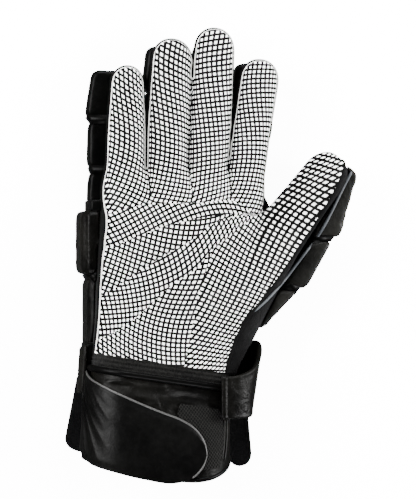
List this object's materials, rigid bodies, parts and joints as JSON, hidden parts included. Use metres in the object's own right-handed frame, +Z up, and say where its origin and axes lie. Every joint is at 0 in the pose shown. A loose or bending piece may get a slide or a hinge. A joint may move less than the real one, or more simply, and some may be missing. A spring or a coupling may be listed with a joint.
{
  "type": "historical fencing glove",
  "caption": "Padded right-hand glove for historical fencing, with a grip-grid palm, segmented foam pads on the back, a ribbed wrist and a strapped cuff with a closing flap.",
  "frame": {"origin": "middle of the base, on the surface that the padded back rests on", "axes": "+Z up out of the palm, +Y towards the fingertips, +X towards the thumb"},
  "size_m": [0.1772, 0.269, 0.0614],
  "materials": {
    "grip_cloth": "matt cloth with a raised black rubber grid",
    "black_cloth": "matt knitted lining",
    "black_leather": "soft satin, finely wrinkled",
    "ribbed_elastic": "ribbed, matt"
  },
  "bodies": {
    "root": {"palm_panel": "grip_cloth", "hand_back": "black_cloth", "little_stall": "black_cloth", "ring_stall": "black_cloth", "middle_stall": "black_cloth", "index_stall": "black_cloth", "thumb_stall": "black_cloth", "little_pad_1": "black_leather", "little_pad_2": "black_leather", "little_knuckle_pad": "black_leather", "ring_pad_1": "black_leather", "ring_pad_2": "black_leather", "ring_pad_3": "black_leather", "ring_knuckle_pad": "black_leather", "middle_pad_1": "black_leather", "middle_pad_2": "black_leather", "middle_pad_3": "black_leather", "middle_knuckle_pad": "black_leather", "index_pad_1": "black_leather", "index_pad_2": "black_leather", "index_pad_3": "black_leather", "index_knuckle_pad": "black_leather", "thumb_pad_1": "black_leather", "thumb_pad_2": "black_leather", "thumb_pad_3": "black_leather", "back_pad_1": "black_leather", "back_pad_2": "black_leather", "side_pad_1": "black_leather", "side_pad_2": "black_leather", "cuff_pad": "black_leather", "wrist_band": "ribbed_elastic", "cuff": "black_leather", "cuff_flap": "black_leather", "wrist_strap": "black_leather", "strap_tail_left": "black_leather", "strap_tail_right": "black_leather"}
  },
  "joints": []
}
